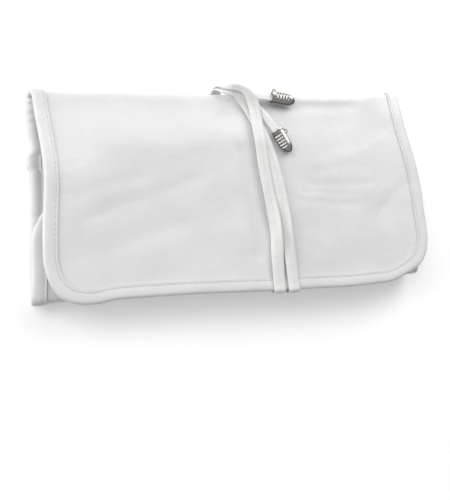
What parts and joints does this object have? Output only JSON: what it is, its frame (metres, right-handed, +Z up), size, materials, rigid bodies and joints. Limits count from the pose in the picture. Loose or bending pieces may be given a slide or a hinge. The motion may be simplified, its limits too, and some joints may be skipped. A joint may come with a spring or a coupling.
{
  "type": "makeup brush case",
  "caption": "Tri-fold makeup brush case in soft leather with pocket row, brush flap and a wound tie strap with metal tips, closed and tied.",
  "frame": {"origin": "on the surface that the closed case lies on, under the middle of its box", "axes": "+X along the length of the case from the flap end to the pocket end, +Y towards the fold that carries the front panel, +Z up out of the front panel; the case lies on its back panel"},
  "size_m": [0.24, 0.1364, 0.0255],
  "materials": {
    "cover": "silvery pearl grey artificial leather, satin, with faint wrinkles",
    "binding": "off-white folded leather tape, satin, stitched",
    "lining": "cool lavender-white smooth cloth",
    "pocket_cloth": "cool lavender-white smooth cloth",
    "flap": "cool white satin cloth",
    "strap": "white flat folded leather strap, satin, with one row of stitches",
    "strap_tip": "bright nickel, fluted"
  },
  "bodies": {
    "back_panel": {"cover_back": "cover", "lining_back": "lining", "binding_back_flap_end": "binding", "binding_back_pocket_end": "binding", "pocket_cloth_back": "pocket_cloth", "flap_back": "flap", "flap_hem_back": "binding", "tie_back_strand_1": "strap", "tie_back_strand_2": "strap"},
    "top_fold": {"cover_top_fold": "cover", "lining_top_fold": "lining", "binding_top_fold_flap_end": "binding", "binding_top_fold_pocket_end": "binding", "flap_top_fold": "flap", "flap_hem_top_fold": "binding", "tie_top_turn_1": "strap", "tie_top_turn_2": "strap"},
    "front_panel": {"cover_front": "cover", "lining_front": "lining", "binding_front": "binding", "pocket_cloth_front": "pocket_cloth", "flap_front": "flap", "flap_hem_front": "binding", "tie_front_strand_1": "strap", "tie_tail_1": "strap", "tie_tip_1": "strap_tip", "tie_front_strand_2": "strap", "tie_tail_2": "strap", "tie_tip_2": "strap_tip"},
    "inner_fold": {"cover_inner_fold": "cover", "lining_inner_fold": "lining", "binding_inner_fold_flap_end": "binding", "binding_inner_fold_pocket_end": "binding", "flap_inner_fold": "flap", "flap_hem_inner_fold": "binding", "tie_edge_turn_1": "strap", "tie_edge_turn_2": "strap"},
    "inner_panel": {"cover_inner": "cover", "lining_inner": "lining", "binding_inner": "binding", "pocket_cloth_inner": "pocket_cloth", "flap_inner": "flap", "flap_hem_inner": "binding"}
  },
  "joints": [
    {"name": "top_fold_hinge", "type": "hinge", "parent": "back_panel", "child": "top_fold", "pos_m": [0, 0.06069, 0], "axis": [-1, 0, 0], "range_deg": [0, 90]},
    {"name": "front_panel_hinge", "type": "hinge", "parent": "top_fold", "child": "front_panel", "pos_m": [0, 0.06069, 0.01821], "axis": [-1, 0, 0], "range_deg": [0, 87.5]},
    {"name": "inner_fold_hinge", "type": "hinge", "parent": "back_panel", "child": "inner_fold", "pos_m": [0, -0.06131, 0], "axis": [1, 0, 0], "range_deg": [0, 90]},
    {"name": "inner_panel_hinge", "type": "hinge", "parent": "inner_fold", "child": "inner_panel", "pos_m": [0, -0.06131, 0.0162], "axis": [1, 0, 0], "range_deg": [0, 90]}
  ],
  "couplings": [
    {"joint": "front_panel_hinge", "follows": "top_fold_hinge", "ratio": 0.97222},
    {"joint": "inner_fold_hinge", "follows": "top_fold_hinge", "ratio": 1},
    {"joint": "inner_panel_hinge", "follows": "top_fold_hinge", "ratio": 1}
  ]
}
